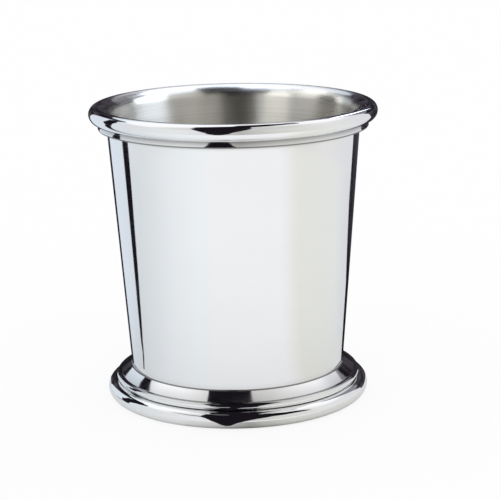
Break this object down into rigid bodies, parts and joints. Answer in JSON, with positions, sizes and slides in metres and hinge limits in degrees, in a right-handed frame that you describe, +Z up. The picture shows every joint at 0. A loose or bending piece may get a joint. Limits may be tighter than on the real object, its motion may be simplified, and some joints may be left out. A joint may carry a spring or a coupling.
{
  "type": "pewter julep cup",
  "caption": "Tapered pewter beaker with a flared, beaded lip over a collar and a moulded ring foot, for cold drinks; polished outside, satin inside.",
  "frame": {"origin": "centre of the base, on the surface that the cup stands on", "axes": "+Z up the cup's axis towards the mouth; X and Y are free, because the cup is round"},
  "size_m": [0.085, 0.085, 0.088],
  "materials": {
    "pewter_wall": "polished outside, satin turned inside",
    "pewter_polished": "polished",
    "pewter_satin": "satin, turned",
    "solder": "satin"
  },
  "bodies": {
    "root": {"cup_wall": "pewter_wall", "cup_floor": "pewter_satin", "lip_ring": "pewter_polished", "collar_ring": "pewter_polished", "foot_cove": "pewter_polished", "foot_reed": "pewter_polished", "base_ring": "pewter_polished", "rim_solder": "solder", "foot_solder": "solder", "floor_solder": "solder"}
  },
  "joints": []
}
